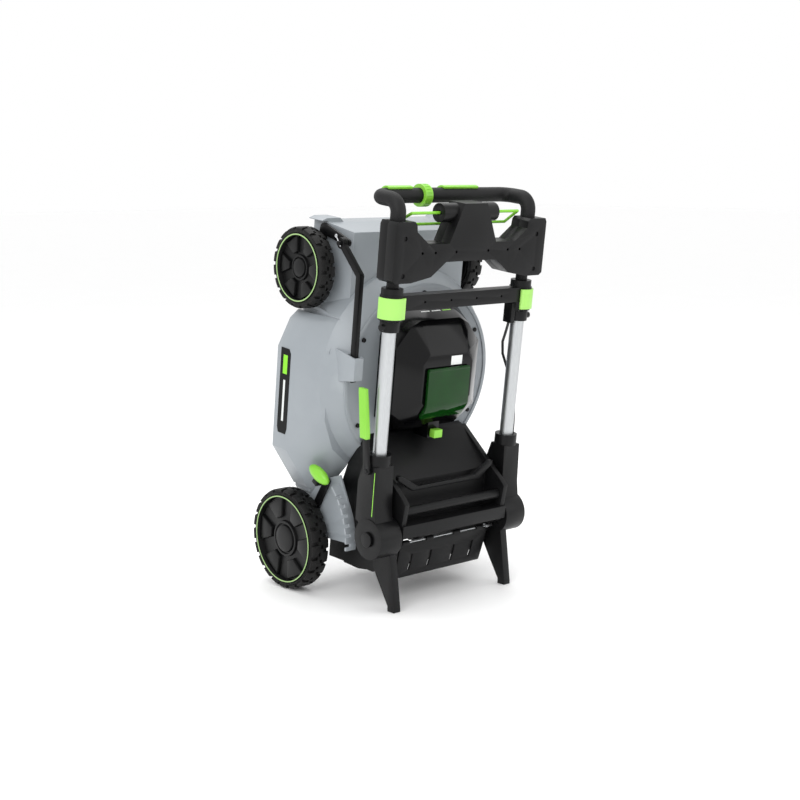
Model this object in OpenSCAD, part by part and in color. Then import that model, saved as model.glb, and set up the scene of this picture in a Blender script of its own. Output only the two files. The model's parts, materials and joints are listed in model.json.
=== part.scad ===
// Cordless walk-behind lawn mower, folded and standing on its rear end.
// Each piece is drawn in the mower's own frame: x to its right, y towards the ground
// that it mows, z forwards, with the rear axle through the origin. stand() then leans
// that frame onto the floor, where it rests on its rear wheels and its two feet.

/* [Stance] */
// Lean of the stored mower towards its handle side, in degrees
lean = 6.8; // [5:0.1:8]

/* [Wheels] */
// Radius of a rear wheel
rear_r = 114; // [104:1:120]
// Width of a rear wheel
rear_w = 46; // [36:1:48]
// Distance from the middle to a rear wheel's outer face
rear_x = 240; // [238:1:262]
// Radius of a front wheel
front_r = 89; // [76:1:92]
// Width of a front wheel
front_w = 38; // [30:1:40]
// Distance from the middle to a front wheel's outer face
front_x = 236; // [235:1:260]
// Distance between the axles
wheelbase = 612; // [604:1:690]
// Drop of the front axle below the rear one
front_drop = 12; // [0:1:20]
// Depth of a tyre's rubber, from tread to rim
tyre_deep = 15; // [10:1:20]
// Radius of a wheel's bore
wheel_bore = 6.05; // [5:0.05:8]

/* [Deck] */
// Half of the deck's width at its widest
deck_half = 260; // [256:1:300]
// Wall of the deck's moulding
wall = 4; // [3:0.5:6]
// Height of the deck's rim below the axle
rim_y = 30; // [20:1:40]
// Distance of the blade's spindle in front of the rear axle
spindle_z = 385; // [375:1:390]
// Radius of the blade chamber
chamber_r = 234; // [225:1:234]
// Height of the deck's top above the axle
deck_top = 140; // [136:1:150]
// Length of the blade from tip to tip
blade_len = 460; // [380:2:460]

/* [Cutting height] */
// Travel of the deck between its lowest and highest cut
cut_travel = 54; // [40:1:56]
// Length of a rear swing arm
rear_arm = 70; // [62:1:76]
// Length of a front swing arm
front_arm = 92; // [88:1:96]
// Radius of the lever's gate
gate_r = 160; // [150:1:165]

/* [Motor cover] */
// Half of the cover's width at its foot
cover_half = 118; // [110:1:126]
// Height of the cover's crown above the axle
cover_top = 236; // [226:1:242]
// Half of the battery window's width
window_half = 58; // [50:1:62]
// Wall of the cover's moulding
cover_wall = 3; // [2:0.5:4]

/* [Handle] */
// Distance from the middle to a handle tube's axis
tube_x = 187; // [185:1:192]
// Height of the handle tubes above the axle
tube_y = 248; // [244:1:256]
// Radius of a lower tube
tube_r = 15; // [14:0.5:16]
// Wall of a tube
tube_wall = 1.4; // [1:0.1:2]
// Radius of an upper tube
inner_tube_r = 13; // [11:0.5:13]
// Height of the fold pivot above the axle
pivot_y = 262; // [256:1:266]
// Distance of the fold pivot in front of the axle
pivot_z = 78; // [72:1:84]
// Radius of the bracket's round hub
hub_r = 44; // [36:1:44]
// Top of the bracket's tube socket
socket_top = 255; // [235:1:270]
// Middle of the crossbar that joins the two clamps
cross_z = 582; // [570:1:586]
// Middle of the switch housing
housing_z = 686; // [684:1:700]
// Height of the handlebar's grip
bar_z = 790; // [780:1:800]
// Radius of the handlebar
bar_r = 16; // [14:0.5:17]

/* [Fits] */
// Radial clearance of a shaft in its bore
run_gap = 0.05; // [0.02:0.01:0.1]
// Clearance between pieces that only sit together
sit_gap = 0.4; // [0.3:0.1:0.8]

/* [Hidden] */
$fn = 64;
eps = 0.01;
wide = 400;                                   // reaches past any face
floor_drop = 600;
leg_in = 156;                                 // inner face of a foot
leg_out = 174;
hub_out = 214;                                // outer face of a bracket's hub
quick_x = hub_out + 1;                        // inner face of the quick lever
chute_half = 152;                             // outer face of the chute's side wall
chute_wall = 12;
axle_r = wheel_bore - run_gap;
pin_r = 10;                                   // fold pivot bolt
crank_r = 8;                                  // cross tubes of the axle frames
blade_r = blade_len / 2;
well_in = front_x - front_w - 2;              // deck's side beside a front wheel
arm_t = 6;                                    // thickness of a swing arm
rear_arm_x = rear_x - rear_w - 18 - arm_t;    // inner face of a rear swing arm
lever_x = rear_x - rear_w - 7;                // inner face of the height lever
front_arm_x = well_in - arm_t - 5;
front_half = front_arm_x - 3;                 // deck's side between the front arms
rear_pivot = [-cut_travel / 2, sqrt(rear_arm * rear_arm - cut_travel * cut_travel / 4)];
front_axle = [front_drop, wheelbase];
front_pivot = [front_drop - cut_travel / 2,
               wheelbase + sqrt(front_arm * front_arm - cut_travel * cut_travel / 4)];
link_x = 203;                                 // middle of the front link bar
link_pin = [front_pivot[0] - 82, front_pivot[1] - 19];
link_y = -162;                                // height of the bar's long straight
lever_pivot = [-20, 25];
lever_turn = 63.6;                            // lever's angle above the horizontal at rest
clamp_r = 25;                                 // radius of a clamp
flip_x = tube_x - 15;                         // hinge line of a flip lever
flip_y = -tube_y - 22;
clamp_low = cross_z - 60;
clamp_top = cross_z + 30;
block_low = housing_z - 60;
block_top = housing_z + 65;
tower_top = bar_z - 4;                        // top of the switch housing's tower
face_y = -tube_y - 31;                        // front face of the switch housing
back_y = -tube_y + 19;
split_y = -tube_y - 4;                        // joint between the housing's two shells
bail_axis = [-tube_y - 2, bar_z - 26];
bail_r = 3.2;
bar_back = -tube_y + 72;                      // the grip stands this far behind its posts
door_axis = [-264, 52];
door_half = 128;
lid_axis = [-cover_top - 4, 424];
dial_x = -61;
// The cable leaves the clamp's plug, passes behind the right tube and enters the bracket.
cable_r = 3;
cable_path = [[160, -248, 517], [160, -244, 500], [164, -232, 470], [176, -224, 440], [192, -224, 410],
              [204, -232, 380], [209, -240, 340], [209, -246, 300], [208, -248, 275], [208, -248, 260]];

charcoal = "#2b2c2e";
grey = "#9a9fa3";
lime = "#97d14a";

// The stored stance: the farthest points are the housing's tower and the rear tyres' backs.
reach_front = face_y * cos(lean) - tower_top * sin(lean);
stand_y = -(reach_front + rear_r) / 2;
module stand() { translate([0, stand_y, rear_r]) rotate([lean, 0, 0]) children(); }
module unstand() { rotate([-lean, 0, 0]) translate([0, -stand_y, -rear_r]) children(); }
module floor_cut() { unstand() translate([-wide, -2 * wide, -floor_drop]) cube([2 * wide, 4 * wide, floor_drop]); }

// along_x draws a (y, z) outline from x0 to x1, along_y an (x, z) outline from y0 to y1.
module along_x(x0, x1) { translate([x0, 0, 0]) rotate([90, 0, 90]) linear_extrude(x1 - x0) children(); }
module along_y(y0, y1) { translate([0, y1, 0]) rotate([90, 0, 0]) linear_extrude(y1 - y0) children(); }
module rod_x(x0, x1, r, at) { translate([x0, at[0], at[1]]) rotate([0, 90, 0]) cylinder(h = x1 - x0, r = r); }
module rod_y(y0, y1, r, at) { translate([at[0], y0, at[1]]) rotate([-90, 0, 0]) cylinder(h = y1 - y0, r = r); }
module rod_z(z0, z1, r, at) { translate([at[0], at[1], z0]) cylinder(h = z1 - z0, r = r); }
module block(low, high) { translate(low) cube(high - low); }
module both() {
  children();
  mirror([1, 0, 0]) children();
}
function mirrored(half) = concat(half, [for (i = [len(half) - 1:-1:0]) [-half[i][0], half[i][1]]]);
function inset(half, d, mid) = [for (p = half) [max(p[0] - d, 1), p[1] + (p[1] < mid ? d : -d)]];

// ---- deck ----
rim_half = [[150, 92], [184, 104], [deck_half, 215], [deck_half, 440], [232, 500], [well_in, 530]];
top_half = [[150, 190], [198, 232], [225, 300], [225, 450], [190, 515]];
nose_z = front_pivot[1] + 13;                 // front face of the nose
hood = [[138, nose_z - 15], [138, nose_z - 1], [148, nose_z + 9], [184, nose_z + 9], [197, nose_z + 4],
        [197, nose_z + 2.5], [181, nose_z + 2.5], [181, nose_z - 15]];

module deck_form(d) {
  hull() {
    along_y(-22 + d, rim_y) polygon(mirrored(inset(rim_half, d, 300)));
    along_y(-104 + d, -100 + d) polygon(mirrored(inset(top_half, d, 300)));
  }
  hull() {
    block([-front_half + d, -20, 480], [front_half - d, rim_y, nose_z - d]);
    block([-162 + d, -84 + d, 480], [162 - d, -20, nose_z - 13 - d]);
  }
}
// The round housing over the blade, d inside its outer face.
module dome(d) {
  rod_y(-95, rim_y + d, chamber_r + wall - d, [0, spindle_z]);
  translate([0, -95, spindle_z]) rotate([90, 0, 0])
    cylinder(h = deck_top - 95 - d, r1 = chamber_r + wall - d, r2 = chamber_r - 26);
  if (d == 0) difference() {
    rod_y(-deck_top - 3, -deck_top + 1, chamber_r - 27, [0, spindle_z]);
    rod_y(-deck_top - 4, -deck_top, chamber_r - 35, [0, spindle_z]);
  }
}
module deck_shell() {
  color(grey) difference() {
    union() {
      deck_form(0);
      dome(0);
      both() along_y(-17, rim_y) polygon(hood);
    }
    difference() {
      translate([0, eps, 0]) deck_form(wall);
      rod_y(-wide, wide, chamber_r + wall, [0, spindle_z]);
      rod_x(-wide, wide, crank_r + 9, front_pivot);
    }
    difference() {
      dome(wall);
      rod_y(-wide, -58, 92, [0, spindle_z]);
    }
    rod_y(-wide, -62, 88, [0, spindle_z]);
    rod_y(-wide, 0, 14, [0, spindle_z]);
    both() block([well_in, -wide, 517], [wide, wide, wheelbase + 96]);
    both() rod_x(rear_x - rear_w - 5, wide, rear_r + 8, [0, 0]);
    rod_x(-wide, wide, crank_r + run_gap, front_pivot);
    block([-chute_half + chute_wall, -deck_top + wall, 100], [chute_half - chute_wall, -34, 260]);
    block([-chute_half - sit_gap, -wide, 0], [chute_half + sit_gap, -58, 196]);
  }
}
// The chute carries the cut grass from the chamber to the rear door.
module chute_side() {
  polygon([[-105, 196], [-150, 262], [-292, 166], [-303, 156], [-292, 72], [-272, 66], [-252, 34],
           [-216, -22], [-62, -34], [-62, 70]]);
}
module chute_housing() {
  color(charcoal) difference() {
    union() {
      both() along_x(chute_half - chute_wall, chute_half) chute_side();
      along_x(-chute_half + chute_wall, chute_half - chute_wall)
        polygon([[-150, 262], [-140.5, 268], [-234, 182], [-240, 68], [-244, 68], [-238, 184], [-148, 266]]);
      block([-chute_half, -303, 80], [chute_half, -274, 108]);
      block([-chute_half, -274, 92], [chute_half, -240, 96]);
      both() rod_x(chute_half, leg_in - sit_gap, 20, [-pivot_y, pivot_z]);
    }
    both() rod_x(chute_half - chute_wall - 1, leg_in + 1, pin_r + run_gap, [-pivot_y, pivot_z]);
    rod_x(-chute_half - 1, chute_half + 1, 3 + run_gap, door_axis);
    dome(0);
  }
}
module carry_grip() {
  grip = [-284, 134];
  color(charcoal) {
    rod_x(-chute_half + chute_wall, chute_half - chute_wall, 10, grip);
    block([-98, -264, 168], [98, -252, 178]);
    both() hull() {
      block([84, -264, 168], [98, -252, 178]);
      block([chute_half - chute_wall - 8, -262, 196], [chute_half - chute_wall, -250, 206]);
    }
  }
}
module rear_skirt() {
  color(charcoal) along_x(-chute_half + chute_wall, chute_half - chute_wall)
    polygon([[-216, -18], [-150, -34], [-100, -36], [-100, -40], [-151, -38], [-217, -22]]);
}
module side_strips() {
  color("#17191a") both() along_x(deck_half + sit_gap / 4, deck_half + 1)
    polygon([[-18, 262], [-14, 250], [12, 250], [16, 262], [16, 440], [-12, 440], [-18, 430]]);
}
// The gate is a ribbed arc with a notch for each cutting height, on a plate beside the deck.
module height_gate() {
  gate_in = lever_x - 7;
  gate_out = 207;
  color(grey) mirror([1, 0, 0]) difference() {
    union() {
      along_x(gate_in, gate_in + 4)
        polygon([[-34, 14], [-6, 14], [10, 60], [24, 112], [-120, 176], [-160, 112], [-178, 62], [-178, 34]]);
      rod_x(gate_in, lever_x + 5, 6, lever_pivot);
      translate([0, lever_pivot[0], lever_pivot[1]]) {
        intersection() {
          difference() {
            rod_x(gate_in, gate_out, gate_r + 5, [0, 0]);
            rod_x(gate_in - 1, gate_out + 1, gate_r, [0, 0]);
          }
          along_x(gate_in, gate_out) polygon([[0, 0], [-300, 0], [-300, 240], [-150, 190]]);
        }
        for (a = [10, 25, 40])
          rotate([-a, 0, 0]) block([gate_in, -gate_r - 1, -1.5], [gate_out - 14, -gate_r + 9, 1.5]);
      }
    }
    for (i = [0:5])
      translate([0, lever_pivot[0], lever_pivot[1]]) rotate([-4 - 7.6 * i, 0, 0])
        block([gate_out - 12, -gate_r - 9, -4], [gate_out + 1, -gate_r + 1, 4]);
    deck_form(0);
    dome(0);
  }
}
module link_guide() {
  color(grey) mirror([1, 0, 0]) difference() {
    along_x(link_x - 12, link_x + 12) polygon([[-100, 386], [link_y - 17, 402], [link_y - 17, 450], [-100, 462]]);
    block([link_x - 8, link_y - 12, 392], [link_x + 8, link_y + 14, 470]);
    dome(0);
  }
}
// Lugs behind the deck hold the cross tube that the rear axle frame swings on.
module axle_brackets() {
  color("#55585c") both() for (x = [60, 130]) difference() {
    hull() {
      rod_x(x, x + 8, crank_r + 6, rear_pivot);
      block([x, -22, rim_half[0][1] - 6], [x + 8, 6, rim_half[0][1]]);
    }
    rod_x(x - 1, x + 9, crank_r + run_gap, rear_pivot);
  }
}
module pivot_bolts() {
  color("#b9bcc0") both() {
    rod_x(chute_half - chute_wall - 8, hub_out + 4, pin_r, [-pivot_y, pivot_z]);
    rod_x(hub_out + sit_gap, hub_out + 6, 16, [-pivot_y, pivot_z]);
  }
}
module door_rod() { color("#b9bcc0") rod_x(-chute_half, chute_half, 3, door_axis); }
module door_springs() {
  color("#c9ccd0") both() difference() {
    rod_x(door_half + 2, chute_half - chute_wall - 1, 5.5, door_axis);
    rod_x(door_half + 1, chute_half, 3 + run_gap, door_axis);
  }
}
module deck_screws() {
  screw_r = chamber_r - 46;
  color("#3a3c3f") for (a = [30, 90, 150, 210, 330])
    rod_y(-deck_top - 4, -deck_top, 5, [screw_r * cos(a), spindle_z + screw_r * sin(a)]);
}

// ---- motor, battery and blade ----
cover_foot = [[70, 268], [cover_half, 306], [cover_half, 486], [98, 540], [62, 556]];
cover_mid = [[64, 288], [cover_half + 2, 326], [cover_half + 2, 470], [84, 512], [56, 526]];
cover_crown = [[window_half + 2, 345], [window_half + 14, 358], [window_half + 14, 436], [54, 458]];

module cover_form(d) {
  hull() {
    along_y(-deck_top - 3, -deck_top - sit_gap + (d > 0 ? 1 : 0)) polygon(mirrored(inset(cover_foot, d, 400)));
    along_y(-200, -196) polygon(mirrored(inset(cover_mid, d, 400)));
    along_y(-cover_top + d, -cover_top + d + 3) polygon(mirrored(inset(cover_crown, d, 400)));
  }
}
module motor_cover() {
  color("#161718") difference() {
    union() {
      cover_form(0);
      block([-16, -206, 262], [16, -160, 300]);
    }
    cover_form(cover_wall);
    block([-window_half, -wide, 338], [window_half, -cover_top + 30, 422]);
    block([-8 - sit_gap, -207, 270], [8 + sit_gap, -168, 278]);
  }
}
module battery_bay() {
  color("#202224") difference() {
    block([-window_half + 1, -cover_top + 9, 339], [window_half - 1, -deck_top - 5, 421]);
    block([-window_half + 4, -wide, 342], [window_half - 4, -deck_top - 8, 418]);
  }
}
module controller_box() {
  color("#33363a") block([-66, -192, 436], [66, -deck_top - 6, 500]);
}
module motor_stator() {
  color("#6a6d70") difference() {
    rod_y(-112, -62, 80, [0, spindle_z]);
    rod_y(-113, -61, 8 + run_gap, [0, spindle_z]);
  }
}
module motor_rotor() {
  color("#8d9094") {
    rod_y(-124, 6, 8, [0, spindle_z]);
    rod_y(-124, -114, 66, [0, spindle_z]);
  }
}
module blade() {
  color("#8f9398") difference() {
    union() {
      along_y(6, 10) polygon(mirrored([[60, spindle_z - 26], [blade_r, spindle_z - 26],
                                       [blade_r, spindle_z + 10], [60, spindle_z + 26]]));
      both() hull() {
        block([blade_r - 90, 6, spindle_z - 26], [blade_r - 2, 10, spindle_z - 22]);
        block([blade_r - 80, -14, spindle_z - 38], [blade_r - 30, -11, spindle_z - 35]);
      }
    }
    rod_y(5, 11, 6 + run_gap, [0, spindle_z]);
  }
}
module blade_bolt() {
  color("#b9bcc0") {
    rod_y(10, 14, 22, [0, spindle_z]);
    translate([0, 14, spindle_z]) rotate([-90, 0, 0]) cylinder(h = 9, r = 11, $fn = 6);
    rod_y(6, 10, 6, [0, spindle_z]);
  }
}
module battery_lid() {
  color("#1d4a1e") difference() {
    union() {
      along_x(-window_half - 2, window_half + 2)
        polygon([[-cover_top - 1, 426], [-cover_top - 1, 345.5], [-220.6, 319], [-225.6, 314], [-cover_top - 8, 341],
                 [-cover_top - 9, 348], [-cover_top - 7, 424]]);
      rod_x(-window_half, window_half, 4, lid_axis);
    }
    block([-window_half + 2, -cover_top - 5, 352], [window_half - 2, -cover_top, 416]);
  }
}
module battery_pack() {
  color("#26282a") {
    block([-window_half + 6, -cover_top + 12, 344], [window_half - 6, -deck_top - 10, 416]);
    block([-24, -cover_top + 7, 352], [24, -cover_top + 12, 402]);
  }
}
module safety_key() {
  color(lime) {
    block([-8, -208, 271], [8, -172, 277]);
    block([-12, -224, 265], [12, -208, 283]);
  }
}

// ---- rear door and height control ----
module rear_door() {
  color(charcoal) difference() {
    union() {
      along_x(-door_half, door_half)
        polygon([[-270, 52], [-266, 46], [-262, 8], [-252, -26], [-220, -44], [-222, -48],
                 [-256, -30], [-266, 8], [-272, 46]]);
      for (x = [-110, -40, 40, 110])
        rod_x(x - 10, x + 10, 6.5, door_axis);
    }
    rod_x(-door_half - 1, door_half + 1, 3 + run_gap, door_axis);
    for (x = [-90, -34, 34, 90])
      block([x - 3, -290, -14], [x + 3, -240, 26]);
  }
}
module lever_frame() {
  mirror([1, 0, 0]) translate([0, lever_pivot[0], lever_pivot[1]]) rotate([-lever_turn, 0, 0]) children();
}
module height_lever() {
  color("#1d1f21") lever_frame() {
    difference() {
      hull() {
        rod_x(lever_x, lever_x + 4, 12, [0, 0]);
        rod_x(lever_x, lever_x + 4, 9, [-gate_r + 18, 0]);
      }
      rod_x(lever_x - 1, lever_x + 5, 6 + run_gap, [0, 0]);
    }
    block([lever_x, -gate_r + 12, -8], [226, -gate_r + 19, 8]);
    block([218, -gate_r - 4, -7], [226, -gate_r + 19, 7]);
  }
}
module height_knob() {
  color(lime) lever_frame() difference() {
    translate([222, -gate_r - 8, 0]) rotate([-8, 0, 0]) scale([13, 15, 34]) sphere(r = 1, $fn = 48);
    block([218, -gate_r - 4, -7], [226, -gate_r + 19, 7]);
  }
}

// ---- axles and wheels ----
module swing_arm(x0, from, to) {
  hull() {
    rod_x(x0, x0 + arm_t, 12, from);
    rod_x(x0, x0 + arm_t, 8, to);
  }
}
module rear_axle_frame() {
  axle_half = rear_x - 8;
  color("#2f3133") {
    rod_x(-axle_half, axle_half, axle_r, [0, 0]);
    rod_x(-rear_arm_x - 1, rear_arm_x + 1, crank_r, rear_pivot);
    both() swing_arm(rear_arm_x, [0, 0], rear_pivot);
  }
}
module drive_gearbox() {
  color("#4a4d50") difference() {
    union() {
      rod_x(-48, 10, 40, [0, 0]);
      rod_x(10, 78, 28, [-8, 0]);
    }
    rod_x(-50, 80, axle_r + run_gap, [0, 0]);
  }
}
module at_wheel(side, x, at) {
  translate([side * x, at[0], at[1]]) rotate([0, -90 * side, 0]) children();
}
module tyre(r, w) {
  color("#1b1c1d") rotate_extrude() {
    polygon([[r - tyre_deep, 2], [r - 6, 0], [r, 8], [r, w - 8], [r - 6, w], [r - tyre_deep, w - 2]]);
  }
}
module rim(r, w) {
  rim_r = r - tyre_deep - run_gap;
  color("#232527") difference() {
    union() {
      difference() {
        cylinder(h = w, r = rim_r);
        translate([0, 0, -1]) cylinder(h = w + 2, r = rim_r - 8);
      }
      translate([0, 0, w / 2 - 6]) cylinder(h = 10, r = rim_r - 4);
      cylinder(h = w, r = 24);
    }
    for (a = [0:60:300])
      rotate([0, 0, a]) translate([rim_r - 26, 0, w / 2 - 7]) cylinder(h = 4, r = 13);
    translate([0, 0, 7]) cylinder(h = w, r = wheel_bore);
  }
}
module ring(r) {
  ring_r = r - tyre_deep - 1;
  color("#b4cf94") translate([0, 0, -1.2]) difference() {
    cylinder(h = 1.2, r = ring_r);
    translate([0, 0, -1]) cylinder(h = 4, r = ring_r - 2.6);
  }
}
module rear_tyre_left() { at_wheel(-1, rear_x, [0, 0]) tyre(rear_r, rear_w); }
module rear_rim_left() { at_wheel(-1, rear_x, [0, 0]) rim(rear_r, rear_w); }
module rear_ring_left() { at_wheel(-1, rear_x, [0, 0]) ring(rear_r); }
module rear_tyre_right() { at_wheel(1, rear_x, [0, 0]) tyre(rear_r, rear_w); }
module rear_rim_right() { at_wheel(1, rear_x, [0, 0]) rim(rear_r, rear_w); }
module rear_ring_right() { at_wheel(1, rear_x, [0, 0]) ring(rear_r); }
module front_axle_frame() {
  color("#2f3133") {
    rod_x(-front_arm_x - 1, front_arm_x + 1, crank_r, front_pivot);
    both() {
      swing_arm(front_arm_x, front_pivot, front_axle);
      rod_x(front_arm_x, front_x - 8, axle_r, front_axle);
    }
    mirror([1, 0, 0]) {
      swing_arm(front_arm_x, front_pivot, link_pin);
      difference() {
        rod_x(front_arm_x, link_x + 12, 5, link_pin);
        cotter_line(1.3);
      }
    }
  }
}
module front_tyre_left() { at_wheel(-1, front_x, front_axle) tyre(front_r, front_w); }
module front_rim_left() { at_wheel(-1, front_x, front_axle) rim(front_r, front_w); }
module front_ring_left() { at_wheel(-1, front_x, front_axle) ring(front_r); }
module front_tyre_right() { at_wheel(1, front_x, front_axle) tyre(front_r, front_w); }
module front_rim_right() { at_wheel(1, front_x, front_axle) rim(front_r, front_w); }
module front_ring_right() { at_wheel(1, front_x, front_axle) ring(front_r); }
module link_bar() {
  bend = [link_y, link_pin[1] - 58];
  color("#141516") mirror([1, 0, 0]) difference() {
    union() {
      rod_x(link_x - 6, link_x + 6, 12, link_pin);
      hull() {
        rod_x(link_x - 6, link_x + 6, 7, link_pin);
        rod_x(link_x - 6, link_x + 6, 7, bend);
      }
      hull() {
        rod_x(link_x - 6, link_x + 6, 7, bend);
        rod_x(link_x - 6, link_x + 6, 7, [link_y, 402]);
      }
    }
    rod_x(link_x - 7, link_x + 7, 5 + run_gap, link_pin);
  }
}
module cotter_line(r) {
  translate([link_x + 9, link_pin[0], link_pin[1]]) rotate([-40, 0, 0]) translate([0, 0, -8]) cylinder(h = 26, r = r);
}
module link_cotter() {
  color("#b9bcc0") mirror([1, 0, 0]) {
    cotter_line(1.2);
    translate([link_x + 9, link_pin[0], link_pin[1]]) rotate([-40, 0, 0]) translate([0, 0, 18])
      rotate([0, 90, 0]) rotate_extrude() translate([3, 0]) circle(r = 1.2, $fn = 16);
  }
}

// ---- folding handle ----
module bracket(side) {
  tube_at = [tube_x, -tube_y];
  color(charcoal) scale([side, 1, 1]) difference() {
    union() {
      rod_x(leg_in, hub_out, hub_r, [-pivot_y, pivot_z]);
      along_x(leg_in + 8, hub_out - 2)
        polygon([[-pivot_y - 26, pivot_z], [-tube_y - 26, 150], [-tube_y - 21, socket_top - 18],
                 [-tube_y + 21, socket_top - 18], [-tube_y + 34, 196], [-tube_y + 34, 110]]);
      along_x(leg_in, leg_out)
        polygon([[-pivot_y, pivot_z], [-pivot_y - 28, pivot_z - 32], [-318, -70], [-320, -96], [-299, -96],
                 [-296, -68], [-262, -26], [-240, 2], [-pivot_y + 34, pivot_z - 26]]);
      rod_z(socket_top - 20, socket_top + 5, 25, tube_at);
    }
    rod_z(pivot_z + hub_r + 6, socket_top + 6, tube_r + sit_gap / 4, tube_at);
    rod_x(leg_in - 1, hub_out + 1, pin_r + run_gap, [-pivot_y, pivot_z]);
    floor_cut();
  }
  color(charcoal) if (side < 0) rod_x(-hub_out - 8, -hub_out + 2, 4, [-tube_y, 226]);
}
module bracket_left() { bracket(-1); }
module bracket_right() { bracket(1); }
module lower_tubes() {
  low = pivot_z + hub_r + 6 + sit_gap;
  color("#b8bcbc") both() difference() {
    rod_z(low, clamp_top - 12, tube_r, [tube_x, -tube_y]);
    rod_z(low - 1, clamp_top, tube_r - tube_wall, [tube_x, -tube_y]);
  }
}
module mid_crossbar() {
  lip = tube_r + sit_gap / 4;
  color(charcoal) difference() {
    union() {
      both() {
        rod_z(clamp_low, clamp_low + 22, clamp_r - 4, [tube_x, -tube_y]);
        rod_z(cross_z - 36, cross_z + 16, clamp_r, [tube_x, -tube_y]);
        rod_z(cross_z + 16, clamp_top, clamp_r - 2, [tube_x, -tube_y]);
        rod_x(tube_x + clamp_r - 9, tube_x + clamp_r + 3, 7, [-tube_y - 4, clamp_low + 10]);
      }
      block([-tube_x + 14, -tube_y - 19, cross_z - 16], [tube_x - 14, -tube_y + 8, cross_z + 16]);
      block([154, -tube_y - 12, clamp_low - 4], [tube_x - 21, -tube_y + 12, clamp_low + 40]);
    }
    both() rod_z(clamp_low - 1, clamp_top - 12, lip, [tube_x, -tube_y]);
    both() rod_z(clamp_low, clamp_top + 1, inner_tube_r + run_gap, [tube_x, -tube_y]);
    both() rod_z(cross_z - 34, cross_z + 14, 4.8, [flip_x, flip_y]);
    for (x = [-111, -37, 37, 111])
      rod_y(-tube_y - 20, -tube_y - 14, 2.6, [x, cross_z]);
  }
}
module flip_lever(side) {
  color(lime) scale([side, 1, 1]) translate([0, 0, cross_z - 32]) {
    translate([flip_x, flip_y, 0]) cylinder(h = 44, r = 4.2);
    linear_extrude(44) intersection() {
      translate([tube_x, -tube_y]) difference() {
        circle(r = clamp_r + 4);
        circle(r = clamp_r + sit_gap);
      }
      polygon([[tube_x, -tube_y], 2 * [flip_x, flip_y] - [tube_x, -tube_y], [tube_x + 50, flip_y - 30],
               [tube_x + 50, -tube_y + 18]]);
    }
  }
}
module flip_lever_left() { flip_lever(-1); }
module flip_lever_right() { flip_lever(1); }
module quick_lever() {
  color("#1d1f21") mirror([1, 0, 0]) difference() {
    hull() {
      rod_x(quick_x, quick_x + 6, 9, [-tube_y, 226]);
      rod_x(quick_x, quick_x + 6, 8, [-tube_y + 12, 296]);
    }
    rod_x(quick_x - 1, quick_x + 7, 4 + run_gap, [-tube_y, 226]);
  }
}
module quick_grip() {
  color(lime) mirror([1, 0, 0]) difference() {
    hull() {
      block([quick_x - 0.6, -tube_y + 3, 294], [quick_x + 10, -tube_y + 23, 304]);
      block([quick_x, -tube_y + 19, 390], [quick_x + 9, -tube_y + 39, 398]);
    }
    hull() {
      rod_x(quick_x - 2, quick_x + 6, 9 + sit_gap, [-tube_y, 226]);
      rod_x(quick_x - 2, quick_x + 6, 8 + sit_gap / 4, [-tube_y + 12, 296]);
    }
  }
}
// A cord swept along the route's points, in rings of eight.
function unit(v) = v / norm(v);
function heading(p, i) = unit(p[min(i + 1, len(p) - 1)] - p[max(i - 1, 0)]);
module cord(p, r) {
  n = 8;
  rings = [for (i = [0:len(p) - 1]) let (t = heading(p, i), u = unit(cross(t, [0, 1, 0])), v = cross(t, u))
           for (k = [0:n - 1]) p[i] + r * (cos(360 * k / n) * u + sin(360 * k / n) * v)];
  sides = [for (i = [0:len(p) - 2]) for (k = [0:n - 1])
           [i * n + k, (i + 1) * n + k, (i + 1) * n + (k + 1) % n, i * n + (k + 1) % n]];
  last = (len(p) - 1) * n;
  polyhedron(rings, concat(sides, [[for (k = [0:n - 1]) k]], [[for (k = [n - 1:-1:0]) last + k]]));
}
module handle_cable() { color("#121314") cord(cable_path, cable_r); }

// ---- telescoping upper handle ----
module upper_tubes() {
  color("#2a2c2e") both() difference() {
    rod_z(pivot_z + hub_r + 60, block_low + 40, inner_tube_r, [tube_x, -tube_y]);
    rod_z(pivot_z + hub_r + 59, block_low + 41, inner_tube_r - tube_wall, [tube_x, -tube_y]);
  }
}
housing_side = [[32, tower_top], [67, housing_z + 18], [124, housing_z + 18], [158, housing_z + 44],
                [160, block_top - 6], [166, block_top], [212, block_top], [216, block_top - 8],
                [216, block_low + 6], [208, block_low], [166, block_low], [112, housing_z - 50],
                [72, housing_z - 20]];
module housing_form(y0, y1) { along_y(y0, y1) polygon(mirrored(housing_side)); }
module tube_bores() {
  both() rod_z(block_low - 1, block_low + 41, inner_tube_r + sit_gap / 4, [tube_x, -tube_y]);
  both() rod_z(block_top - 40, block_top + 1, bar_r + sit_gap / 4, [tube_x, -tube_y]);
}
module housing_room(y0, y1) {
  along_y(y0, y1) polygon(mirrored([[26, tower_top - 6], [58, housing_z + 12], [150, housing_z + 12],
                                    [150, housing_z - 12], [60, housing_z - 14]]));
}
module bail_boss(y0, y1) {
  intersection() {
    both() rod_x(30, 78, 20, bail_axis);
    block([-80, y0, bail_axis[1] - 22], [80, y1, bail_axis[1] + 22]);
  }
}
module housing_front() {
  color(charcoal) difference() {
    union() {
      housing_form(face_y, split_y);
      bail_boss(-wide, split_y);
    }
    housing_room(face_y + 4, split_y + 1);
    tube_bores();
    rod_x(-79, 79, 5 + run_gap, bail_axis);
    for (x = [-140, -104, -46, 46, 104, 140])
      rod_y(face_y - 1, face_y + 5, 3, [x, housing_z]);
    for (x = [-tube_x - 2, tube_x + 2], z = [housing_z - 45, housing_z + 31])
      rod_y(face_y - 1, face_y + 3, 5, [x, z]);
  }
}
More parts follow.
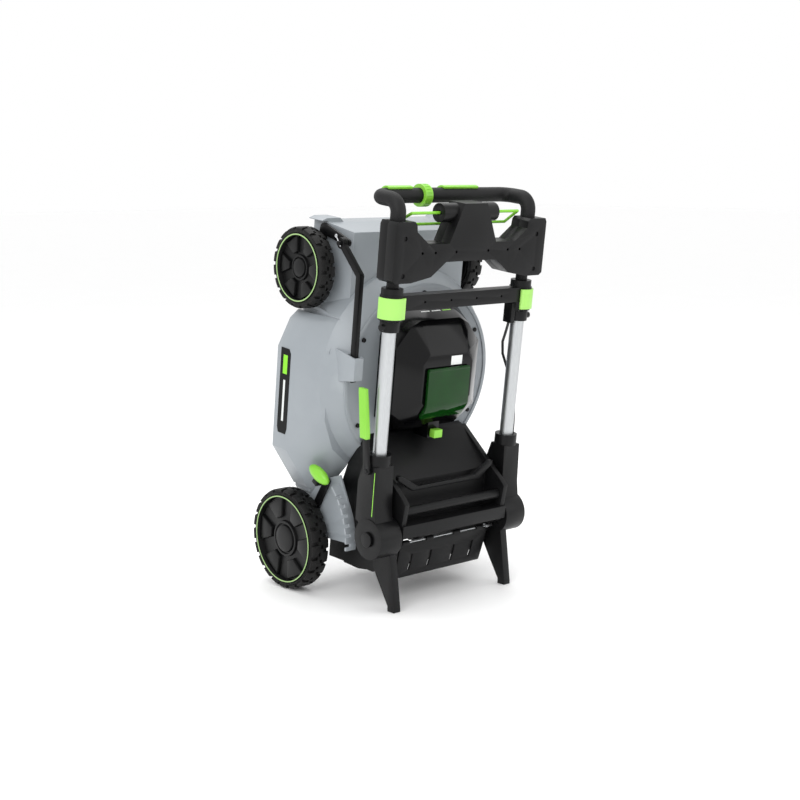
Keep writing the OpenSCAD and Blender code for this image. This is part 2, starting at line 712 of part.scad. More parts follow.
module housing_back() {
  color(charcoal) difference() {
    union() {
      housing_form(split_y, back_y);
      bail_boss(split_y, wide);
    }
    housing_room(split_y - 1, back_y - 4);
    tube_bores();
    rod_x(-79, 79, 5 + run_gap, bail_axis);
    rod_y(back_y - 6, back_y + 1, 9 + run_gap, [0, housing_z + 30]);
  }
}
// The bar rises from the housing, sweeps back and runs across.
module handlebar() {
  bend = 26;
  color("#242628") {
    both() {
      rod_z(block_top - 40 + sit_gap, bar_z - bend, bar_r, [tube_x, -tube_y]);
      translate([tube_x, -tube_y + bend, bar_z - bend]) rotate([90, 0, -90]) rotate_extrude(angle = 90)
        translate([bend, 0]) circle(r = bar_r);
      rod_y(-tube_y + bend, bar_back - bend, bar_r, [tube_x, bar_z]);
      translate([tube_x - bend, bar_back - bend, bar_z]) rotate_extrude(angle = 90)
        translate([bend, 0]) circle(r = bar_r);
    }
    rod_x(-tube_x + bend, tube_x - bend, bar_r, [bar_back, bar_z]);
  }
}
module bail() {
  low = [bail_axis[0] + 46, bail_axis[1] - 30];
  reach = 152;
  color(lime) {
    rod_x(-60, 60, 5, bail_axis);
    both() {
      rod_x(60, reach, bail_r, bail_axis);
      hull() {
        translate([reach, bail_axis[0], bail_axis[1]]) sphere(r = bail_r, $fn = 24);
        translate([reach + 10, low[0], low[1]]) sphere(r = bail_r, $fn = 24);
      }
    }
    rod_x(-reach - 10, reach + 10, bail_r, low);
  }
}
module speed_dial() {
  color(lime) difference() {
    rod_x(dial_x - 10, dial_x + 10, 24, [bar_back, bar_z]);
    rod_x(dial_x - 11, dial_x + 11, bar_r + run_gap, [bar_back, bar_z]);
    for (a = [0:18:342])
      translate([dial_x - 6, bar_back, bar_z]) rotate([a, 0, 0]) block([0, 23, -1.2], [12, 25, 1.2]);
  }
}
module drive_paddles() {
  color(lime) for (span = [[-162, -96], [-8, 92]]) intersection() {
    difference() {
      rod_x(span[0], span[1], bar_r + 5, [bar_back, bar_z]);
      rod_x(span[0] - 1, span[1] + 1, bar_r + run_gap, [bar_back, bar_z]);
    }
    along_x(span[0], span[1]) polygon([[bar_back - 14, bar_z + 30], [bar_back - 4, bar_z + 4],
                                       [bar_back + 30, bar_z + 6], [bar_back + 30, bar_z + 30]]);
  }
}
module start_button() { color(lime) rod_y(back_y - 5, back_y + 5, 9, [0, housing_z + 30]); }

stand() deck_shell();
stand() chute_housing();
stand() carry_grip();
stand() rear_skirt();
stand() side_strips();
stand() height_gate();
stand() link_guide();
stand() axle_brackets();
stand() pivot_bolts();
stand() door_rod();
stand() door_springs();
stand() deck_screws();
stand() motor_cover();
stand() battery_bay();
stand() controller_box();
stand() motor_stator();
stand() motor_rotor();
stand() blade();
stand() blade_bolt();
stand() battery_lid();
stand() battery_pack();
stand() safety_key();
stand() rear_door();
stand() height_lever();
stand() height_knob();
stand() rear_axle_frame();
stand() drive_gearbox();
stand() rear_tyre_left();
stand() rear_rim_left();
stand() rear_ring_left();
stand() rear_tyre_right();
stand() rear_rim_right();
stand() rear_ring_right();
stand() front_axle_frame();
stand() front_tyre_left();
stand() front_rim_left();
stand() front_ring_left();
stand() front_tyre_right();
stand() front_rim_right();
stand() front_ring_right();
stand() link_bar();
stand() link_cotter();
stand() bracket_left();
stand() bracket_right();
stand() lower_tubes();
stand() mid_crossbar();
stand() handle_cable();
stand() flip_lever_left();
stand() flip_lever_right();
stand() quick_lever();
stand() quick_grip();
stand() upper_tubes();
stand() housing_front();
stand() housing_back();
stand() handlebar();
stand() bail();
stand() speed_dial();
stand() drive_paddles();
stand() start_button();
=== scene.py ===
import bpy
import json
import math
from mathutils import Matrix, Vector


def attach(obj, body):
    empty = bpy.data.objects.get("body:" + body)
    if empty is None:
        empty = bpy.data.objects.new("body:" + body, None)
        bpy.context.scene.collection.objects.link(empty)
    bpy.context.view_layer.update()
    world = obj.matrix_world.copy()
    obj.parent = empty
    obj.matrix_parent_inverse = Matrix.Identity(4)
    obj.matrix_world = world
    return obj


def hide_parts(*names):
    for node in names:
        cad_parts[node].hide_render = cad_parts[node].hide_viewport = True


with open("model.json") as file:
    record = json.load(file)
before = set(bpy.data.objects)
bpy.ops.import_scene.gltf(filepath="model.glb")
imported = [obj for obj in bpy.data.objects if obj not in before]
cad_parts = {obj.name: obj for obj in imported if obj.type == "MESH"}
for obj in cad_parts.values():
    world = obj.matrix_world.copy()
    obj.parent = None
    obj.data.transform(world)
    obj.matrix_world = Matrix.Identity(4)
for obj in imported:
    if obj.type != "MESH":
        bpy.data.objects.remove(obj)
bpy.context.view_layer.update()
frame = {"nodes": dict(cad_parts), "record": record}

cadNodes = frame["nodes"]
bodyOf = {node: body
          for body, nodes in frame["record"]["behaviour"]["bodies"].items() for node in nodes}
print("frame loaded:", len(cadNodes), "nodes")

# new pieces are modelled level: x to the mower's right, y towards the ground it mows, z forwards
# standUp then leans them onto the floor, as the stored mower stands
stance = {"lean": 6.8, "shift": 0.1280515, "axleHeight": 0.114}
lean = (Matrix.Translation((0, stance["shift"], stance["axleHeight"]))
        @ Matrix.Rotation(math.radians(stance["lean"]), 4, "X"))


# small tools for picking and finishing pieces

def clearSelection():
    if bpy.context.object and bpy.context.object.mode != "OBJECT":
        bpy.ops.object.mode_set(mode="OBJECT")
    bpy.ops.object.select_all(action="DESELECT")


def pick(piece):
    clearSelection()
    piece.select_set(True)
    bpy.context.view_layer.objects.active = piece


def applyModifier(piece, kind, **settings):
    pick(piece)
    modifier = piece.modifiers.new(kind.lower(), kind)
    for key, value in settings.items():
        setattr(modifier, key, value)
    bpy.ops.object.modifier_apply(modifier=modifier.name)


def selectFaces(piece, wanted):
    # faces for which wanted(centre, normal) holds, then back into edit mode
    bpy.ops.object.mode_set(mode="OBJECT")
    bpy.context.tool_settings.mesh_select_mode = (False, False, True)
    mesh = piece.data
    for part in list(mesh.vertices) + list(mesh.edges):
        part.select = False
    for face in mesh.polygons:
        face.select = bool(wanted(face.center, face.normal))
    bpy.ops.object.mode_set(mode="EDIT")
    bpy.ops.mesh.select_mode(type="FACE")


def joined(pieces, name):
    clearSelection()
    for piece in pieces:
        piece.select_set(True)
    bpy.context.view_layer.objects.active = pieces[0]
    bpy.ops.object.join()
    pieces[0].name = name
    return pieces[0]


def cleanNormals(piece, gap=0.00001):
    pick(piece)
    bpy.ops.object.mode_set(mode="EDIT")
    bpy.ops.mesh.select_all(action="SELECT")
    bpy.ops.mesh.remove_doubles(threshold=gap)
    bpy.ops.mesh.normals_make_consistent(inside=False)
    bpy.ops.object.mode_set(mode="OBJECT")


def standUp(piece):
    piece.matrix_world = lean @ piece.matrix_world
    pick(piece)
    bpy.ops.object.transform_apply(location=True, rotation=True, scale=True)


def paint(piece, material):
    piece.data.materials.clear()
    piece.data.materials.append(material)


def bevelEdges(piece, width, segments, angle):
    applyModifier(piece, "BEVEL", width=width, segments=segments, limit_method="ANGLE",
                  angle_limit=math.radians(angle))


def addPiece(piece, body, smooth=32, nodes=()):
    pick(piece)
    bpy.ops.object.shade_smooth_by_angle(angle=math.radians(smooth))
    if nodes:
        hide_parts(*nodes)
    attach(piece, body)


cadEdges = {"weld": 0.00002, "flat": 0.6, "limit": 28}      # metres, then degrees


def rounded(node, edge, steps, material):
    # a CAD node with its edges rounded as a mould or a press leaves them
    source = cadNodes[node]
    piece = source.copy()
    piece.data = source.data.copy()
    piece.name = node + "Soft"
    bpy.context.collection.objects.link(piece)
    pick(piece)
    bpy.ops.mesh.customdata_custom_splitnormals_clear()
    bpy.ops.object.mode_set(mode="EDIT")
    bpy.ops.mesh.select_all(action="SELECT")
    bpy.ops.mesh.remove_doubles(threshold=cadEdges["weld"])
    bpy.ops.mesh.dissolve_limited(angle_limit=math.radians(cadEdges["flat"]))
    bpy.ops.object.mode_set(mode="OBJECT")
    applyModifier(piece, "BEVEL", width=edge, segments=steps, limit_method="ANGLE",
                  angle_limit=math.radians(cadEdges["limit"]), use_clamp_overlap=True,
                  miter_outer="MITER_ARC")
    applyModifier(piece, "TRIANGULATE", quad_method="BEAUTY", min_vertices=5)
    paint(piece, material)
    addPiece(piece, bodyOf[node], 32, (node,))


# finishes

def colour(code):
    # sRGB hex to the linear values that the shader wants
    parts = [int(code[i:i + 2], 16) / 255 for i in (1, 3, 5)]
    linear = [p / 12.92 if p <= 0.04045 else ((p + 0.055) / 1.055) ** 2.4 for p in parts]
    return linear + [1.0]


def addNode(tree, kind, sockets=None, **settings):
    # one node with its settings, its fixed values and its links
    node = tree.nodes.new(kind)
    for key, value in settings.items():
        setattr(node, key, value)
    for key, value in (sockets or {}).items():
        if isinstance(value, bpy.types.NodeSocket):
            tree.links.new(value, node.inputs[key])
        else:
            node.inputs[key].default_value = value
    return node


def newFinish(name):
    finish = bpy.data.materials.new(name)
    finish.use_nodes = True
    tree = finish.node_tree
    shader = tree.nodes["Principled BSDF"]
    place = addNode(tree, "ShaderNodeTexCoord").outputs["Object"]
    return finish, tree, shader, place


def mixColours(tree, factor, first, second):
    mix = addNode(tree, "ShaderNodeMix", data_type="RGBA")
    for key, value in (("Factor", factor), ("A", first), ("B", second)):
        socket = [s for s in mix.inputs if s.name == key and s.enabled][0]
        if isinstance(value, bpy.types.NodeSocket):
            tree.links.new(value, socket)
        else:
            socket.default_value = value
    return [s for s in mix.outputs if s.enabled][0]


plastic = {"edgeWear": 0.35, "cloudWear": 0.22, "smoother": 0.05, "rougher": 0.07, "bump": 0.0004,
           "ior": 1.52}


def mouldedPlastic(name, base, worn, rough, grainMm, grainDeep, cloudMm=90, gloss=0.5):
    # injection moulded: an etched grain over the whole skin, slow colour drift, paler edges
    finish, tree, shader, place = newFinish(name)
    grain = addNode(tree, "ShaderNodeTexNoise", {"Vector": place, "Scale": 1000 / grainMm,
                                                 "Detail": 3.0}).outputs["Fac"]
    cloud = addNode(tree, "ShaderNodeTexNoise", {"Vector": place, "Scale": 1000 / cloudMm,
                                                 "Detail": 4.0}).outputs["Fac"]
    edge = addNode(tree, "ShaderNodeNewGeometry").outputs["Pointiness"]
    lift = addNode(tree, "ShaderNodeMapRange", {"Value": edge, "From Min": 0.52, "From Max": 0.62,
                                                "To Min": 0.0, "To Max": plastic["edgeWear"]})
    drift = addNode(tree, "ShaderNodeMapRange", {"Value": cloud, "From Min": 0.3, "From Max": 0.7,
                                                 "To Min": 0.0, "To Max": plastic["cloudWear"]})
    wear = addNode(tree, "ShaderNodeMath", {0: lift.outputs["Result"], 1: drift.outputs["Result"]},
                   operation="ADD")
    shade = mixColours(tree, wear.outputs[0], colour(base), colour(worn))
    tree.links.new(shade, shader.inputs["Base Color"])
    polish = addNode(tree, "ShaderNodeMapRange", {
        "Value": cloud, "From Min": 0.25, "From Max": 0.75,
        "To Min": rough - plastic["smoother"], "To Max": rough + plastic["rougher"]})
    tree.links.new(polish.outputs["Result"], shader.inputs["Roughness"])
    bump = addNode(tree, "ShaderNodeBump", {"Height": grain, "Strength": grainDeep,
                                            "Distance": plastic["bump"]})
    tree.links.new(bump.outputs["Normal"], shader.inputs["Normal"])
    shader.inputs["IOR"].default_value = plastic["ior"]
    shader.inputs["Specular IOR Level"].default_value = gloss
    return finish


metal = {"stainScale": 28.0, "stainShade": 0.82, "smoother": 0.06, "rougher": 0.08, "bump": 0.0002,
         "coatGloss": 0.2}


def coatedMetal(name, base, rough, metallic, specksMm, depth):
    # powder coat, zinc plate, cast or ground steel: fine specks that break the reflection
    finish, tree, shader, place = newFinish(name)
    specks = addNode(tree, "ShaderNodeTexNoise", {"Vector": place, "Scale": 1000 / specksMm,
                                                  "Detail": 5.0}).outputs["Fac"]
    stain = addNode(tree, "ShaderNodeTexNoise", {"Vector": place, "Scale": metal["stainScale"],
                                                 "Detail": 3.0}).outputs["Fac"]
    darker = [metal["stainShade"] * c for c in colour(base)[:3]] + [1.0]
    tree.links.new(mixColours(tree, stain, colour(base), darker), shader.inputs["Base Color"])
    polish = addNode(tree, "ShaderNodeMapRange", {
        "Value": specks, "From Min": 0.3, "From Max": 0.7,
        "To Min": rough - metal["smoother"], "To Max": rough + metal["rougher"]})
    tree.links.new(polish.outputs["Result"], shader.inputs["Roughness"])
    bump = addNode(tree, "ShaderNodeBump", {"Height": specks, "Strength": depth,
                                            "Distance": metal["bump"]})
    tree.links.new(bump.outputs["Normal"], shader.inputs["Normal"])
    shader.inputs["Metallic"].default_value = metallic
    shader.inputs["Specular IOR Level"].default_value = 0.5 if metallic else metal["coatGloss"]
    return finish


# satin ABS, moulded grey: the soft broad highlight of the deck
deckAbs = mouldedPlastic("mouldedGreyAbs", "#8C9297", "#A4A9AD", 0.38, 0.9, 0.10)
# fine-grained black polypropylene: dark grey in the light, dull at a glance
blackPolypropylene = mouldedPlastic("grainedBlackPolypropylene", "#0B0B0C", "#1A1B1C", 0.42, 0.8,
                                    0.22, 90, 0.20)
# glass-filled black nylon of the handle parts: a little shinier, with a fine bloom
blackNylon = mouldedPlastic("glassFilledBlackNylon", "#0A0A0B", "#18191A", 0.36, 0.6, 0.14, 90,
                            0.20)
# polished black ABS: mirror-like, shows the lights as sharp shapes
glossAbs = mouldedPlastic("polishedBlackAbs", "#030304", "#070708", 0.13, 2.5, 0.015, 120, 0.22)
# lime green ABS, satin
limeAbs = mouldedPlastic("mouldedLimeAbs", "#7CC42E", "#93D154", 0.36, 0.8, 0.08)
# pale green ABS of the wheel rings
ringAbs = mouldedPlastic("mouldedPaleGreenAbs", "#93B671", "#A6C688", 0.42, 0.8, 0.06)
# paler lime ABS of the two flip levers
bandAbs = mouldedPlastic("mouldedPaleLimeAbs", "#9BD660", "#AEE07E", 0.34, 0.8, 0.08)
# wheel discs: black polypropylene with a smooth skin
wheelPolypropylene = mouldedPlastic("smoothBlackPolypropylene", "#060607", "#121313", 0.36, 1.2,
                                    0.10, 90, 0.22)
# natural rubber with carbon black: matt, greyer where it has touched the floor
tyreRubber = mouldedPlastic("vulcanisedRubber", "#0B0B0B", "#1D1C1B", 0.62, 0.7, 0.35, 45, 0.28)
# closed-cell foam of the grip: matt, with fine pores
foamGrip = mouldedPlastic("closedCellFoam", "#101011", "#1C1C1D", 0.60, 0.9, 0.50, 60, 0.28)
# soft PVC jacket of the cable
cableJacket = mouldedPlastic("softPvcJacket", "#0F0F10", "#1E1E1F", 0.42, 1.5, 0.05)
# black powder coat on steel and aluminium: fine orange peel
powderCoat = coatedMetal("blackPowderCoat", "#070708", 0.38, 0.0, 1.6, 0.25)
# bright zinc plate on pins, nuts and springs
zincPlate = coatedMetal("brightZincPlate", "#C4C6C8", 0.30, 1.0, 2.2, 0.10)
# cast aluminium of the gearbox and rotor
castAluminium = coatedMetal("castAluminium", "#8F9194", 0.52, 1.0, 1.1, 0.6)
# stamped steel laminations
laminatedSteel = coatedMetal("laminatedSteel", "#6C6F72", 0.48, 1.0, 1.4, 0.4)
# hardened blade steel, ground and oiled
bladeSteel = coatedMetal("groundBladeSteel", "#8C8E90", 0.34, 1.0, 0.9, 0.35)
# printed films of the motor cover and the left bracket
limeFilm = mouldedPlastic("limePolyesterFilm", "#86D435", "#9BE04D", 0.30, 3.0, 0.02)
whiteFilm = mouldedPlastic("whitePolyesterFilm", "#D9DCDA", "#E8EAE8", 0.34, 3.0, 0.02)


def anodisedAluminium():
    # drawn tube, brushed along its length, then anodised: a bright line down a soft grey tube
    finish, tree, shader, place = newFinish("anodisedDrawnAluminium")
    # the real lines are too fine to show, so they are drawn about 1 mm apart and 70 mm long
    brushed = (900.0, 900.0, 14.0)
    along = addNode(tree, "ShaderNodeMapping", {
        "Vector": place, "Scale": brushed, "Rotation": (math.radians(-stance["lean"]), 0.0, 0.0)})
    lines = addNode(tree, "ShaderNodeTexNoise", {"Vector": along.outputs["Vector"], "Scale": 1.0,
                                                 "Detail": 4.0}).outputs["Fac"]
    shade = mixColours(tree, lines, colour("#C9CBCC"), colour("#B3B6B8"))
    tree.links.new(shade, shader.inputs["Base Color"])
    polish = addNode(tree, "ShaderNodeMapRange", {"Value": lines, "From Min": 0.3, "From Max": 0.7,
                                                  "To Min": 0.34, "To Max": 0.48})
    tree.links.new(polish.outputs["Result"], shader.inputs["Roughness"])
    bump = addNode(tree, "ShaderNodeBump", {"Height": lines, "Strength": 0.12, "Distance": 0.0001})
    tree.links.new(bump.outputs["Normal"], shader.inputs["Normal"])
    shader.inputs["Metallic"].default_value = 1.0
    return finish


def windowPolycarbonate():
    # dark green tinted polycarbonate: glossy, and the battery shows through as shapes
    finish, tree, shader, place = newFinish("tintedPolycarbonate")
    haze = addNode(tree, "ShaderNodeTexNoise", {"Vector": place, "Scale": 35.0, "Detail": 2.0})
    tree.links.new(mixColours(tree, haze.outputs["Fac"], colour("#0A330C"), colour("#104812")),
                   shader.inputs["Base Color"])
    shader.inputs["Roughness"].default_value = 0.06
    shader.inputs["IOR"].default_value = 1.585
    shader.inputs["Specular IOR Level"].default_value = 0.10
    shader.inputs["Transmission Weight"].default_value = 0.25
    return finish


# each mark has its middle and half length along the level mower, its half width and its ink
stripPrint = {"across": -0.001, "ground": "#060707",
              "marks": [(0.404, 0.021, 0.0075, "#86D435"), (0.3235, 0.046, 0.0034, "#D9DCDA")]}


def printedFilm():
    # black polyester film, printed with a green block and a pale line in place of any lettering
    finish, tree, shader, place = newFinish("printedPolyesterFilm")
    level = lean.inverted()
    spot = addNode(tree, "ShaderNodeMapping", {"Vector": place, "Location": level.translation,
                                               "Rotation": level.to_euler()})
    axes = addNode(tree, "ShaderNodeSeparateXYZ", {"Vector": spot.outputs["Vector"]})
    base = colour(stripPrint["ground"])
    for middle, halfLong, halfWide, ink in stripPrint["marks"]:
        along = addNode(tree, "ShaderNodeMath", {0: axes.outputs["Z"], 1: middle, 2: halfLong},
                        operation="COMPARE")
        across = addNode(tree, "ShaderNodeMath", {0: axes.outputs["Y"], 1: stripPrint["across"],
                                                  2: halfWide}, operation="COMPARE")
        mark = addNode(tree, "ShaderNodeMath", {0: along.outputs[0], 1: across.outputs[0]},
                       operation="MULTIPLY")
        base = mixColours(tree, mark.outputs[0], base, colour(ink))
    tree.links.new(base, shader.inputs["Base Color"])
    shader.inputs["Roughness"].default_value = 0.38
    shader.inputs["Specular IOR Level"].default_value = 0.15
    return finish


tubeAluminium = anodisedAluminium()
windowGreen = windowPolycarbonate()
print("finishes made:", len(bpy.data.materials))

# wheels

rearWheel = {"radius": 0.114, "width": 0.046, "outerX": 0.240, "rubber": 0.015, "carcass": 0.0062,
             "blocks": 21, "axle": (0.0, 0.0), "hub": 0.041, "pads": 6}
frontWheel = {"radius": 0.089, "width": 0.038, "outerX": 0.236, "rubber": 0.015, "carcass": 0.0052,
              "blocks": 18, "axle": (0.012, 0.612), "hub": 0.028, "pads": 6}
# rows and bars are shares of the tyre's width: where the rows part, and each shoulder's bars
tread = {"rows": (0.36, 0.5, 0.64), "bars": 0.18, "below": 0.0016, "short": 0.0008, "edge": 0.0007}
rimForm = {"play": 0.00005, "lip": 0.0042, "wall": 0.0014, "dish": 0.0130, "rise": 0.0010,
           "hubRing": 0.0062, "groove": 0.0040, "cap": 0.0058, "backLip": 0.0045, "edge": 0.0007}
# the half angles in degrees, at the rim and at the hub, and the draft in radians
padForm = {"gap": 0.0006, "height": 0.0074, "sunk": 0.0010, "draft": 0.03, "edge": 0.0012,
           "farHalf": 19, "nearHalf": 13, "farSlope": 0.0012, "nearSlope": 0.0014}


def placeWheelPart(piece, wheel, side, depthOf):
    # from its own axis to its place on the axle: the left wheel is the right one mirrored
    for vertex in piece.data.vertices:
        vertex.co = (side * depthOf(vertex.co.x), vertex.co.y + wheel["axle"][0],
                     vertex.co.z + wheel["axle"][1])
    cleanNormals(piece, 0.000001)
    standUp(piece)
    return piece


def tyreAt(wheel, side, name):
    r, w, deep = wheel["radius"], wheel["width"], wheel["carcass"]
    low = r - wheel["rubber"]
    base = r - deep
    # the section runs inwards from the outer face: bead, side wall, shoulder, then the crown
    half = [(0.002, low), (0.0, low + 0.004), (0.0004, r - 0.011), (0.0030, base - 0.0022),
            (0.0075, base)]
    section = (half + [(share * w, base) for share in tread["rows"]]
               + [(w - x, radius) for x, radius in reversed(half)])
    clearSelection()
    bpy.ops.mesh.primitive_circle_add(vertices=len(section), radius=0.01, fill_type="NOTHING")
    tyre = bpy.context.object
    tyre.name = name
    for vertex, (x, radius) in zip(tyre.data.vertices, section):
        vertex.co = (x, 0, radius)
    steps = wheel["blocks"] * 4
    bpy.ops.object.mode_set(mode="EDIT")
    bpy.ops.mesh.select_all(action="SELECT")
    bpy.ops.mesh.spin(steps=steps, angle=math.tau, center=(0, 0, 0), axis=(1, 0, 0))
    bpy.ops.object.mode_set(mode="OBJECT")
    cleanNormals(tyre)

    # the tread: blocks in two leaning rows, with shoulder bars that turn the corner
    def isBlock(centre, normal):
        radius = math.hypot(centre.y, centre.z)
        if radius < base - tread["below"]:
            return False
        step = int(math.floor(math.atan2(centre.z, centre.y) / math.tau * steps + 0.001)) % steps
        share = centre.x / w
        firstRow, middle, lastRow = tread["rows"]
        if share < tread["bars"] or share > 1 - tread["bars"]:
            offset = 2 if share > middle else 0
        elif share < middle:
            offset = 1 if share > firstRow else 0
        else:
            offset = 2 if share > lastRow else 3
        return (step + offset) % 4 != 3                   # three steps of rubber, one of groove

    selectFaces(tyre, isBlock)
    bpy.ops.mesh.extrude_region_shrink_fatten(
        TRANSFORM_OT_shrink_fatten={"value": deep - tread["short"]})
    bpy.ops.object.mode_set(mode="OBJECT")
    if max(math.hypot(v.co.y, v.co.z) for v in tyre.data.vertices) < r - 0.003:
        raise SystemExit("tread went inwards")
    for vertex in tyre.data.vertices:                     # no block reaches past the radius
        radius = math.hypot(vertex.co.y, vertex.co.z)
        vertex.co.x = min(max(vertex.co.x, 0.0), w)
        if radius > r:
            vertex.co.y *= r / radius
            vertex.co.z *= r / radius
    bevelEdges(tyre, tread["edge"], 1, 40)
    return placeWheelPart(tyre, wheel, side, lambda x: wheel["outerX"] - x)


def rimAt(wheel, side, name):
    r = wheel["radius"] - wheel["rubber"] - rimForm["play"]
    w, hub, pads = wheel["width"], wheel["hub"], wheel["pads"]
    clearSelection()
    bpy.ops.mesh.primitive_cylinder_add(vertices=pads * 12, radius=r, depth=w,
                                        rotation=(0, math.pi / 2, 0))
    rim = bpy.context.object
    rim.name = name
    bpy.ops.object.transform_apply(location=True, rotation=True, scale=True)
    # both faces are stepped down by insets: lip, deep dish, floor, hub ring and its domed cap
    # each step is an inset, then how far the face is pushed out
    lip, wall, rise, dish = (rimForm[key] for key in ("lip", "wall", "rise", "dish"))
    floorSpan = r - hub - (lip + wall)
    outside = [(lip, 0.0), (wall, -dish), (floorSpan, 0.0), (rise, rimForm["hubRing"]),
               (hub * 0.12, 0.0), (rise, -rimForm["groove"]), (hub * 0.07, 0.0),
               (rise, rimForm["cap"]), (hub * 0.24, 0.0014), (hub * 0.24, 0.0006)]
    inside = [(rimForm["backLip"], 0.0), (0.0012, -w * 0.30), ((r - hub) * 0.70, 0.0),
              (rise, w * 0.26)]
    for direction, steps in ((1, outside), (-1, inside)):
        selectFaces(rim, lambda centre, normal: normal.x * direction > 0.9)
        for inset, push in steps:
            if inset:
                bpy.ops.mesh.inset(thickness=inset)
            if push:
                bpy.ops.transform.translate(value=(direction * push, 0, 0))
    bpy.ops.object.mode_set(mode="OBJECT")
    bevelEdges(rim, rimForm["edge"], 2, 30)
    # the wedge pads stand on the dish's floor, wide at the rim and narrow at the hub
    top = w / 2
    inner, outer = hub + floorSpan * 0.16, r - (lip + wall + padForm["gap"])
    level = top - dish
    pieces = [rim]
    for number in range(pads):
        bpy.ops.object.select_all(action="DESELECT")
        bpy.ops.mesh.primitive_cube_add(size=1.0)
        pad = bpy.context.object
        for vertex in pad.data.vertices:
            far, high = vertex.co.z > 0, vertex.co.x > 0
            half = math.radians(padForm["farHalf"] if far else padForm["nearHalf"])
            reach = outer if far else inner
            rising = -padForm["sunk"]
            if high:
                half -= padForm["draft"]
                rising = padForm["height"]
            span = reach * math.tan(half)
            if high:
                reach += -padForm["farSlope"] if far else padForm["nearSlope"]
            vertex.co = (level + rising, math.copysign(span, vertex.co.y), reach * math.cos(half))
        pad.data.transform(Matrix.Rotation(math.tau * (number + 0.5) / pads, 4, "X"))
        bevelEdges(pad, padForm["edge"], 2, 30)
        pieces.append(pad)
    rim = joined(pieces, name)
    return placeWheelPart(rim, wheel, side, lambda x: wheel["outerX"] - w / 2 + min(x, top))


for end, wheel in (("rear", rearWheel), ("front", frontWheel)):
    for sideName, side in (("left", -1), ("right", 1)):
        tyre = tyreAt(wheel, side, end + "Tyre" + sideName.title())
        paint(tyre, tyreRubber)
        addPiece(tyre, f"{end}_wheel_{sideName}", 32, (f"{end}_tyre_{sideName}",))
        rim = rimAt(wheel, side, end + "Rim" + sideName.title())
        paint(rim, wheelPolypropylene)
        addPiece(rim, f"{end}_wheel_{sideName}", 32, (f"{end}_rim_{sideName}",))
        rounded(f"{end}_ring_{sideName}", 0.0003, 1, ringAbs)
print("wheels made")

# parts whose CAD shape is kept, with their edges rounded
# each has the width of its rounded edges in metres, their steps and its finish
softParts = [
    ("deck_shell", 0.0030, 3, deckAbs), ("height_gate", 0.0008, 2, deckAbs),
    ("link_guide", 0.0018, 3, deckAbs), ("chute_housing", 0.0022, 3, blackPolypropylene),
    ("carry_grip", 0.0028, 3, blackPolypropylene), ("rear_skirt", 0.0010, 2, blackPolypropylene),
    ("rear_door", 0.0010, 2, blackPolypropylene), ("motor_cover", 0.0030, 3, glossAbs),
    ("battery_bay", 0.0010, 2, blackPolypropylene),
    ("controller_box", 0.0020, 2, blackPolypropylene), ("battery_pack", 0.0025, 3, blackNylon),
    ("battery_lid", 0.0022, 3, windowGreen), ("safety_key", 0.0012, 2, limeAbs),
    ("axle_brackets", 0.0006, 2, powderCoat), ("rear_axle_frame", 0.0007, 2, powderCoat),
    ("front_axle_frame", 0.0007, 2, powderCoat), ("link_bar", 0.0014, 2, powderCoat),
    ("drive_gearbox", 0.0020, 3, castAluminium), ("motor_stator", 0.0008, 2, laminatedSteel),
    ("motor_rotor", 0.0010, 2, castAluminium), ("blade", 0.0004, 1, bladeSteel),
    ("blade_bolt", 0.0008, 2, zincPlate), ("pivot_bolts", 0.0012, 3, blackNylon),
    ("deck_screws", 0.0008, 2, powderCoat), ("bracket_left", 0.0026, 3, blackNylon),
    ("bracket_right", 0.0026, 3, blackNylon), ("mid_crossbar", 0.0022, 3, blackNylon),
    ("housing_front", 0.0026, 3, blackNylon), ("housing_back", 0.0026, 3, blackNylon),
    ("flip_lever_left", 0.0010, 3, bandAbs), ("flip_lever_right", 0.0010, 3, bandAbs),
    ("quick_lever", 0.0012, 2, blackNylon), ("quick_grip", 0.0020, 3, limeAbs),
    ("height_lever", 0.0010, 2, powderCoat), ("speed_dial", 0.0006, 1, limeAbs),
    ("drive_paddles", 0.0010, 2, limeAbs), ("start_button", 0.0012, 3, limeAbs),
]
for node, edge, steps, material in softParts:
    rounded(node, edge, steps, material)

# parts that need only a finish
keptParts = {
    "side_strips": printedFilm(), "door_rod": zincPlate, "door_springs": zincPlate,
    "height_knob": limeAbs, "link_cotter": zincPlate, "lower_tubes": tubeAluminium,
    "upper_tubes": powderCoat, "handle_cable": cableJacket, "handlebar": foamGrip, "bail": limeAbs,
}
for node, material in keptParts.items():
    paint(cadNodes[node], material)
print("kept parts finished:", len(softParts) + len(keptParts))

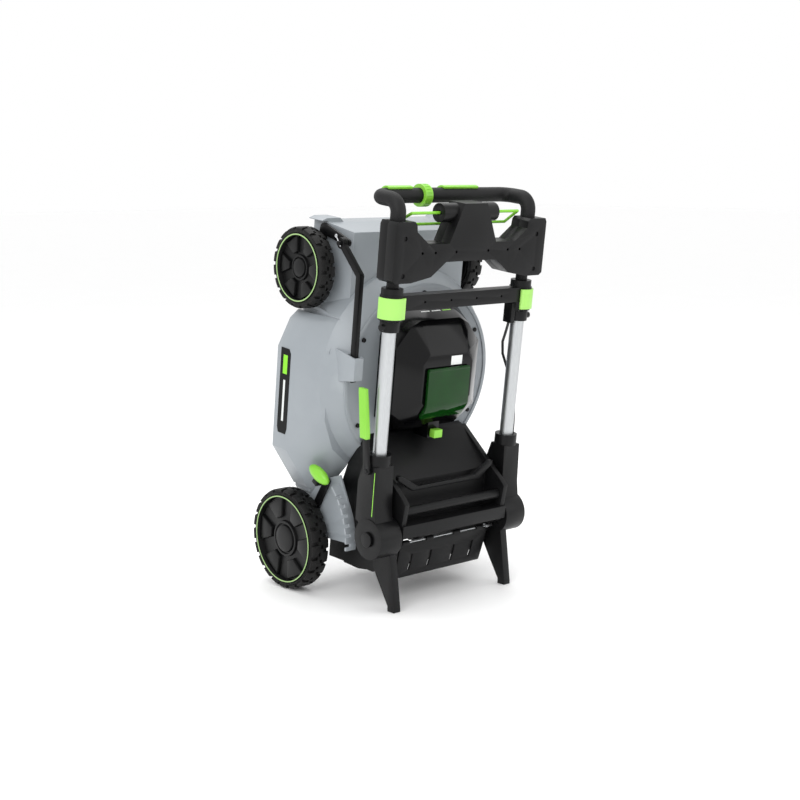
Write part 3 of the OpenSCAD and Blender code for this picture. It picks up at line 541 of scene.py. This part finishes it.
# films: a plain label, three dashes and a line, without any lettering
# each has its size, its middle, and the tilt of the face that it lies on
filmThick = 0.0003
dash = (0.025, 0.0032, filmThick)
coverSlope = math.degrees(math.atan2(30.0, 57.0))
films = [
    ("coverLabel", (0.032, 0.020, filmThick), (0.024, -0.236, 0.441), 90.0, whiteFilm,
     "motor_cover"),
    ("coverDashOne", dash, (-0.024, -0.1750, 0.5392), coverSlope, whiteFilm, "motor_cover"),
    ("coverDashTwo", dash, (0.007, -0.1750, 0.5392), coverSlope, whiteFilm, "motor_cover"),
    ("coverDashThree", dash, (0.038, -0.1750, 0.5392), coverSlope, limeFilm, "motor_cover"),
    ("bracketLine", (0.0004, 0.0017, 0.096), (-0.2121, -0.2666, 0.178), 0.0, limeFilm,
     "bracket_left"),
]
for name, size, at, tilt, material, host in films:
    clearSelection()
    bpy.ops.mesh.primitive_cube_add(size=1.0)
    film = bpy.context.object
    film.name = name
    for vertex in film.data.vertices:
        vertex.co = [share * span for share, span in zip(vertex.co, size)]
    film.matrix_world = Matrix.Translation(at) @ Matrix.Rotation(math.radians(tilt), 4, "X")
    bevelEdges(film, 0.0001, 1, 30)
    paint(film, material)
    standUp(film)
    addPiece(film, bodyOf[host], 30)
print("films laid:", len(films))

# studio

studio = {"floor": 60.0, "sky": 1.0,
          "cameraAt": (-2.091, -2.409, 0.922), "heading": 40.94, "pitch": 8.95, "lens": 64.62}
# each light has its watts, the side of its square, where it stands and what it aims at
lights = [("keySoftbox", 40.0, 1.8, (-2.6, -1.4, 2.4), (0, 0, 0.45)),
          ("fillSoftbox", 14.0, 2.2, (1.6, -2.8, 1.6), (0, 0, 0.45)),
          ("topSoftbox", 40.0, 2.6, (0.3, 0.6, 3.0), (0, 0, 0.4))]

clearSelection()
bpy.ops.mesh.primitive_plane_add(size=studio["floor"], location=(0, 0, -0.0005))
floor = bpy.context.object
floor.name = "studioFloor"
bpy.ops.object.transform_apply(location=True, rotation=True, scale=True)
floorPaint, floorTree, floorShader, floorPlace = newFinish("paleStudioVinyl")
floorSpeck = addNode(floorTree, "ShaderNodeTexNoise", {"Vector": floorPlace, "Scale": 3.0,
                                                       "Detail": 2.0}).outputs["Fac"]
floorShade = mixColours(floorTree, floorSpeck, colour("#FFFFFF"), colour("#FDFDFD"))
floorTree.links.new(floorShade, floorShader.inputs["Base Color"])
floorShader.inputs["Roughness"].default_value = 0.6
paint(floor, floorPaint)

for name, power, size, at, aim in lights:
    light = bpy.data.lights.new(name, "AREA")
    light.energy = power
    light.size = size
    lamp = bpy.data.objects.new(name, light)
    bpy.context.collection.objects.link(lamp)
    lamp.location = at
    lamp.rotation_euler = (Vector(aim) - Vector(at)).to_track_quat("-Z", "Y").to_euler()

world = bpy.data.worlds.new("studioSky")
bpy.context.scene.world = world
world.use_nodes = True
sky = world.node_tree.nodes["Background"]
sky.inputs["Color"].default_value = (1.0, 1.0, 1.0, 1.0)
sky.inputs["Strength"].default_value = studio["sky"]

heading, pitch = math.radians(studio["heading"]), math.radians(studio["pitch"])
look = Vector((math.sin(heading) * math.cos(pitch), math.cos(heading) * math.cos(pitch),
               -math.sin(pitch)))
cameraData = bpy.data.cameras.new("studioCamera")
cameraData.lens = studio["lens"]
cameraData.sensor_width = 36.0
camera = bpy.data.objects.new("studioCamera", cameraData)
bpy.context.collection.objects.link(camera)
camera.location = studio["cameraAt"]
camera.rotation_euler = look.to_track_quat("-Z", "Y").to_euler()
bpy.context.scene.camera = camera
# pale things stay pale and blacks stay black
bpy.context.scene.view_settings.view_transform = "Standard"
print("studio set")
